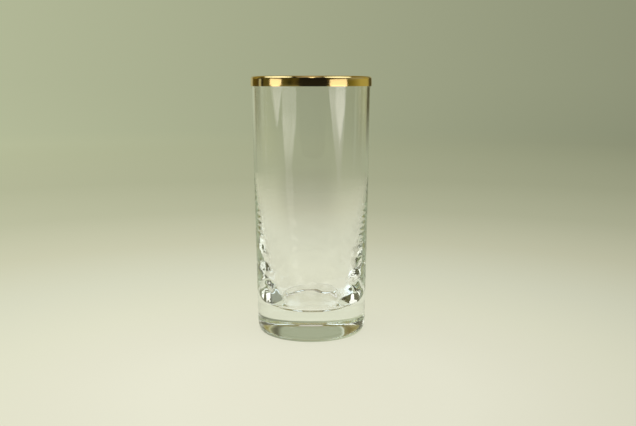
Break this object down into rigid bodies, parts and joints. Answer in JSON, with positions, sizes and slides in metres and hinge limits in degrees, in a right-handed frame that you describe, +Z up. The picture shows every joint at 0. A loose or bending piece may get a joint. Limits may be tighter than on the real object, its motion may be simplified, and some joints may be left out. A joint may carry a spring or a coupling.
{
  "type": "highball glass",
  "caption": "Straight clear highball tumbler with a thick solid base, a cavity that draws in towards its floor, and a gilt metal band folded over the lip.",
  "frame": {"origin": "centre of the resting face, under the base", "axes": "+Z up along the axis of the glass; the glass is round, so +X and +Y are free"},
  "size_m": [0.0662, 0.0662, 0.1415],
  "materials": {
    "clear_glass": "clear soda-lime glass, fire-polished",
    "gilt_brass": "spun, gilt and polished"
  },
  "bodies": {
    "root": {"glass": "clear_glass", "rim_band": "gilt_brass"}
  },
  "joints": []
}
